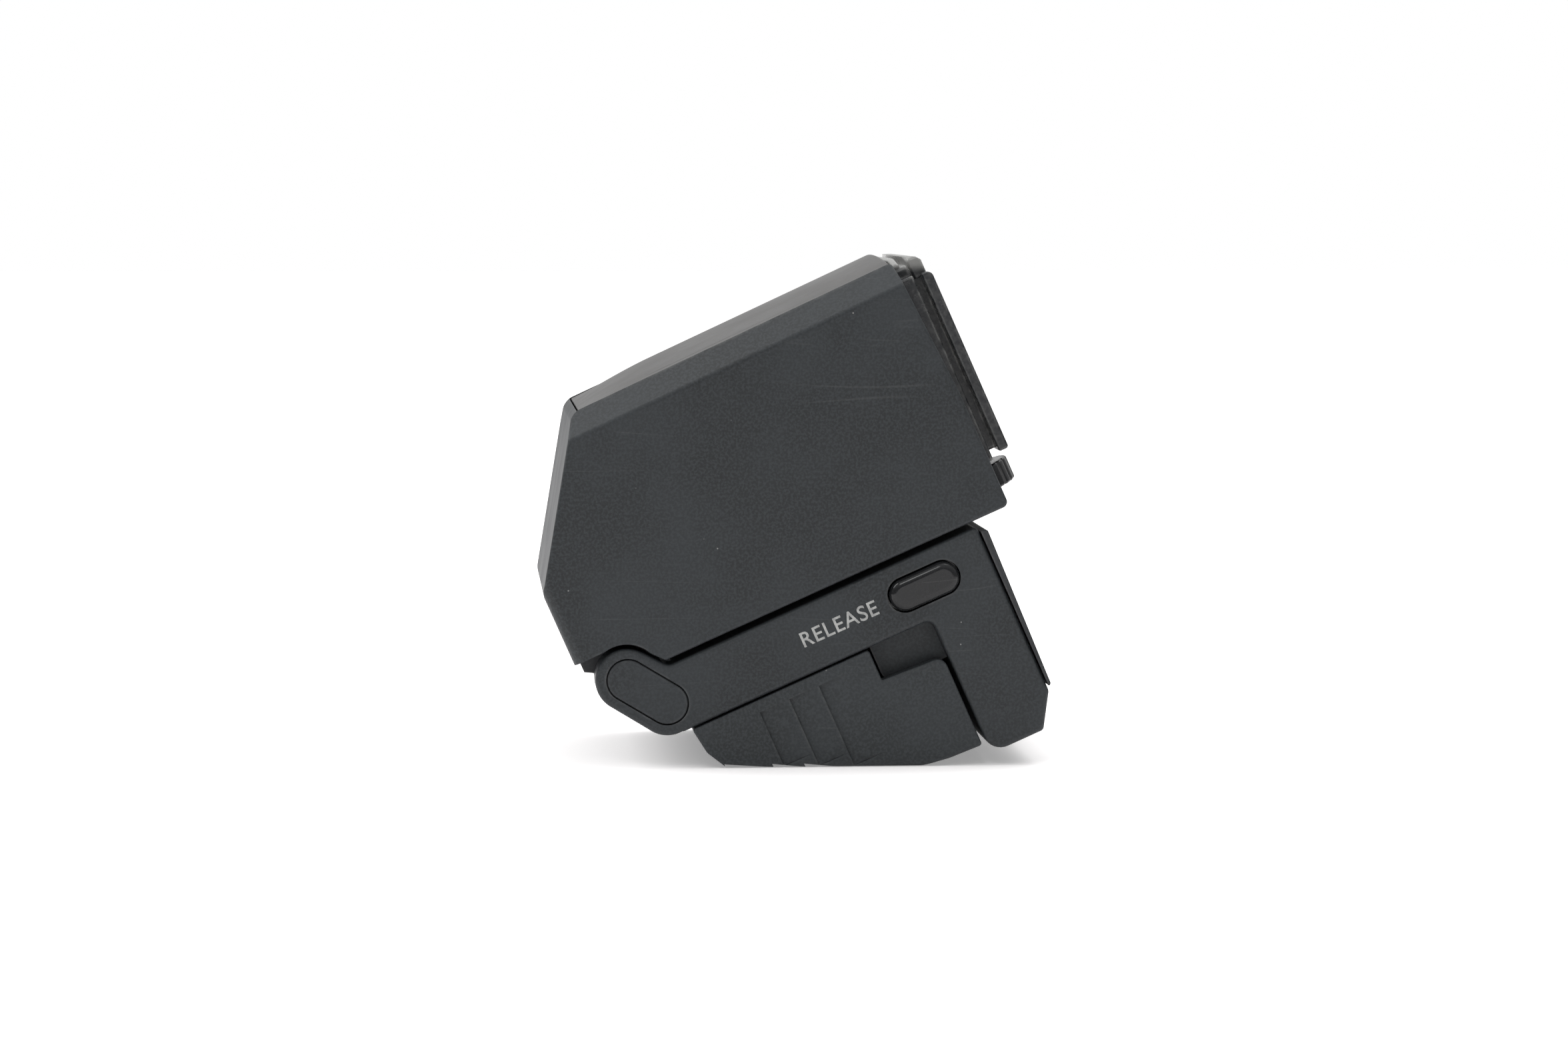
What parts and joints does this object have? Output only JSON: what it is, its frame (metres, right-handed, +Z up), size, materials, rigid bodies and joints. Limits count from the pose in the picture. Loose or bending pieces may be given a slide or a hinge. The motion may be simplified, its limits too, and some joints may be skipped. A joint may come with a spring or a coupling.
{
  "type": "clip-on electronic viewfinder",
  "caption": "Compact clip-on electronic viewfinder with a tilting head hinged on an L-shaped base, a side release button and a ribbed slide-on cover over its shoe foot.",
  "frame": {"origin": "centre of the footprint on the surface the unit stands on", "axes": "+X towards the eyepiece end, +Y across the width from its left side to its right side, +Z up; the unit stands on the rest facet of its shoe cover, so its own long axis slopes up by 24 degrees towards +X"},
  "size_m": [0.0488, 0.0312, 0.0496],
  "materials": {
    "housing_black": "fine-grained moulded ABS and polycarbonate, charcoal black",
    "top_cover_grey": "satin painted plastic, dusty charcoal",
    "satin_black": "satin black plastic",
    "gloss_black": "polished black plastic",
    "inner_black": "plain black inner mouldings",
    "optical_glass": "coated optical glass",
    "dark_window": "dark glossy window or chip surface",
    "board_green": "solder-masked circuit board",
    "flex_amber": "amber flexible circuit",
    "diffuser_white": "white diffuser",
    "contact_brass": "gold-plated contacts",
    "steel": "plated steel"
  },
  "bodies": {
    "base": {"base_housing": "housing_black", "base_rear_cover": "satin_black", "hinge_cap_left": "housing_black", "friction_washer_left": "steel", "hinge_cap_right": "housing_black", "friction_washer_right": "steel", "hinge_pin": "steel", "shoe_foot": "steel", "foot_screw_1": "steel", "foot_screw_2": "steel", "foot_screw_3": "steel", "foot_screw_4": "steel", "release_spring": "steel", "spring_post": "inner_black", "lock_spring": "steel", "connector_shell": "steel", "connector_tongue": "gloss_black", "connector_contacts": "contact_brass", "connector_body": "inner_black", "leg_board": "board_green", "arm_board": "board_green", "arm_flex": "flex_amber", "arm_chip": "dark_window"},
    "head": {"head_housing": "housing_black", "head_top_cover": "top_cover_grey", "hinge_block": "satin_black", "hinge_block_screw_left": "steel", "hinge_block_screw_right": "steel", "head_flex": "flex_amber", "display_backlight": "diffuser_white", "display_panel": "dark_window", "display_holder": "inner_black", "optics_tube": "inner_black", "head_board": "board_green", "head_chip": "dark_window", "eyepiece_frame": "gloss_black", "eyepiece_window": "optical_glass", "eye_sensor_window": "dark_window", "case_screw_1": "steel", "case_screw_2": "steel", "case_screw_3": "steel", "case_screw_4": "steel"},
    "lens_carriage": {"lens_barrel": "inner_black", "lens_front": "optical_glass", "lens_rear": "optical_glass"},
    "diopter_wheel": {"diopter_wheel": "gloss_black"},
    "release_button": {"release_button": "gloss_black"},
    "release_bar": {"release_bar": "steel"},
    "lock_pin": {"lock_pin": "steel"},
    "shoe_cover": {"shoe_cover": "housing_black"}
  },
  "joints": [
    {"name": "head_tilt", "type": "hinge", "parent": "base", "child": "head", "pos_m": [-0.01645, 0.00035, 0.00856], "axis": [0, -1, 0], "range_deg": [0, 90]},
    {"name": "diopter_turn", "type": "hinge", "parent": "head", "child": "diopter_wheel", "pos_m": [0.01727, -0.00865, 0.02686], "axis": [-0.4067, 0, 0.9135], "range_deg": [-36, 36]},
    {"name": "lens_focus", "type": "slide", "parent": "head", "child": "lens_carriage", "axis": [0.9135, 0, 0.4067], "range_m": [-0.00119, 0.00119]},
    {"name": "release_press", "type": "slide", "parent": "base", "child": "release_button", "axis": [0, 1, 0], "range_m": [0, 0.001], "stiffness_N_per_m": 800, "springref_m": -0.001, "deforming": ["release_spring"]},
    {"name": "release_bar_slide", "type": "slide", "parent": "base", "child": "release_bar", "axis": [-0.9135, 0, -0.4067], "range_m": [0, 0.001]},
    {"name": "lock_pin_lift", "type": "slide", "parent": "base", "child": "lock_pin", "axis": [-0.4067, 0, 0.9135], "range_m": [0, 0.001], "deforming": ["lock_spring"]},
    {"name": "cover_slide", "type": "slide", "parent": "base", "child": "shoe_cover", "axis": [-0.9135, 0, -0.4067], "range_m": [0, 0.024]}
  ],
  "couplings": [
    {"joint": "diopter_turn", "follows": "lens_focus", "rad_per_m": -526.3},
    {"joint": "release_bar_slide", "follows": "release_press", "ratio": 1},
    {"joint": "lock_pin_lift", "follows": "release_press", "ratio": 1}
  ]
}
